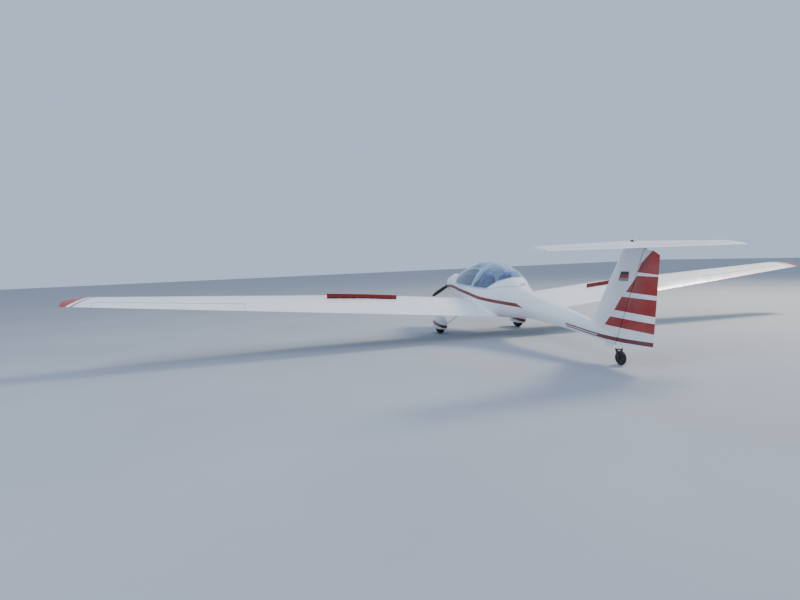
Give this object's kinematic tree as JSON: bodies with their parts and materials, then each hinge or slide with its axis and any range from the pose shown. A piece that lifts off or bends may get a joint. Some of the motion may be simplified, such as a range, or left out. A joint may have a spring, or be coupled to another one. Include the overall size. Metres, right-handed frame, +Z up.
{
  "type": "two-seat motor glider",
  "caption": "Low-wing touring motor glider with a T-tail, bubble canopy, nose propeller, sprung legs with spats, steerable tail wheel and raised airbrakes.",
  "frame": {"origin": "on the floor under the middle of the aircraft's length and span, as it stands on its wheels", "axes": "+X towards the propeller, +Y towards the left wing tip, +Z up"},
  "size_m": [6.873, 16, 1.8245],
  "materials": {
    "white_gelcoat": "polished white gelcoat over glass fibre",
    "red_paint": "gloss red lacquer",
    "black_lacquer": "black lacquer over a laminate",
    "canopy_acrylic": "clear blown acrylic with a faint blue tint",
    "bare_steel": "satin steel",
    "cast_aluminium": "fine cast, satin",
    "tyre_rubber": "black tyre rubber, dusty",
    "seat_fabric": "woven blue upholstery",
    "cabin_trim": "dark grey grained trim"
  },
  "bodies": {
    "airframe": {"fuselage_shell": "white_gelcoat", "tail_boom": "white_gelcoat", "fin": "white_gelcoat", "tailplane": "white_gelcoat", "cowl_upper": "white_gelcoat", "cowl_lower": "white_gelcoat", "wing_left": "white_gelcoat", "wing_right": "white_gelcoat", "gear_leg_left": "white_gelcoat", "gear_leg_right": "white_gelcoat", "spat_left": "white_gelcoat", "spat_right": "white_gelcoat", "control_stick_left": "black_lacquer", "control_stick_right": "black_lacquer", "firewall": "bare_steel", "exhaust_pipe": "bare_steel", "main_axle_left": "bare_steel", "main_axle_right": "bare_steel", "tail_bracket": "bare_steel", "engine_block": "cast_aluminium", "seat_left": "seat_fabric", "seat_right": "seat_fabric", "rear_bulkhead": "cabin_trim", "cabin_floor": "cabin_trim", "instrument_panel": "cabin_trim", "centre_console": "cabin_trim"},
    "propeller": {"propeller": "black_lacquer", "spinner": "white_gelcoat"},
    "wheel_left": {"main_tyre_left": "tyre_rubber", "main_rim_left": "cast_aluminium"},
    "wheel_right": {"main_tyre_right": "tyre_rubber", "main_rim_right": "cast_aluminium"},
    "tail_fork": {"tail_fork": "bare_steel"},
    "tail_wheel": {"tail_tyre": "tyre_rubber", "tail_rim": "cast_aluminium"},
    "rudder": {"rudder": "white_gelcoat"},
    "elevator": {"elevator": "white_gelcoat"},
    "aileron_left": {"aileron_left": "white_gelcoat"},
    "aileron_right": {"aileron_right": "white_gelcoat"},
    "airbrake_left": {"airbrake_left": "red_paint"},
    "airbrake_right": {"airbrake_right": "red_paint"},
    "canopy": {"canopy_frame": "white_gelcoat", "canopy_glass_front": "canopy_acrylic", "canopy_glass_rear": "canopy_acrylic"}
  },
  "joints": [
    {"name": "propeller_spin", "type": "hinge", "parent": "airframe", "child": "propeller", "pos_m": [3.17699, 0, 1.12148], "axis": [0.989, 0, 0.1478], "continuous": true},
    {"name": "wheel_spin_left", "type": "hinge", "parent": "airframe", "child": "wheel_left", "pos_m": [1.97554, 0.981, 0.18], "axis": [0, 1, 0], "continuous": true},
    {"name": "wheel_spin_right", "type": "hinge", "parent": "airframe", "child": "wheel_right", "pos_m": [1.97554, -0.981, 0.18], "axis": [0, 1, 0], "continuous": true},
    {"name": "tail_wheel_steer", "type": "hinge", "parent": "airframe", "child": "tail_fork", "pos_m": [-2.62946, 0, 0.25], "axis": [0, 0, 1], "range_deg": [-30, 30]},
    {"name": "tail_wheel_spin", "type": "hinge", "parent": "tail_fork", "child": "tail_wheel", "pos_m": [-2.66946, 0, 0.105], "axis": [0, 1, 0], "continuous": true},
    {"name": "rudder_hinge", "type": "hinge", "parent": "airframe", "child": "rudder", "pos_m": [-2.62244, 0, 0.27396], "axis": [-0.3727, 0, 0.928], "range_deg": [-30, 30]},
    {"name": "elevator_hinge", "type": "hinge", "parent": "airframe", "child": "elevator", "pos_m": [-3.22866, 0, 1.73237], "axis": [0, 1, 0], "range_deg": [-18, 22]},
    {"name": "aileron_hinge_left", "type": "hinge", "parent": "airframe", "child": "aileron_left", "pos_m": [0.7406, 5.19, 0.96631], "axis": [-0.0329, 0.9964, 0.0781], "range_deg": [-20, 20]},
    {"name": "aileron_hinge_right", "type": "hinge", "parent": "airframe", "child": "aileron_right", "pos_m": [0.7406, -5.19, 0.96631], "axis": [0.0329, 0.9964, -0.0781], "range_deg": [-20, 20]},
    {"name": "airbrake_slide_left", "type": "slide", "parent": "airframe", "child": "airbrake_left", "axis": [-0.2092, 0, 0.9779], "range_m": [-0.092, 0]},
    {"name": "airbrake_slide_right", "type": "slide", "parent": "airframe", "child": "airbrake_right", "axis": [-0.2092, 0, 0.9779], "range_m": [-0.092, 0]},
    {"name": "canopy_hinge", "type": "hinge", "parent": "airframe", "child": "canopy", "pos_m": [0.04385, 0, 1.12642], "axis": [0, -1, 0], "range_deg": [0, 50]}
  ],
  "couplings": [
    {"joint": "tail_wheel_steer", "follows": "rudder_hinge", "ratio": 1},
    {"joint": "aileron_hinge_right", "follows": "aileron_hinge_left", "ratio": -1},
    {"joint": "airbrake_slide_right", "follows": "airbrake_slide_left", "ratio": 1}
  ]
}
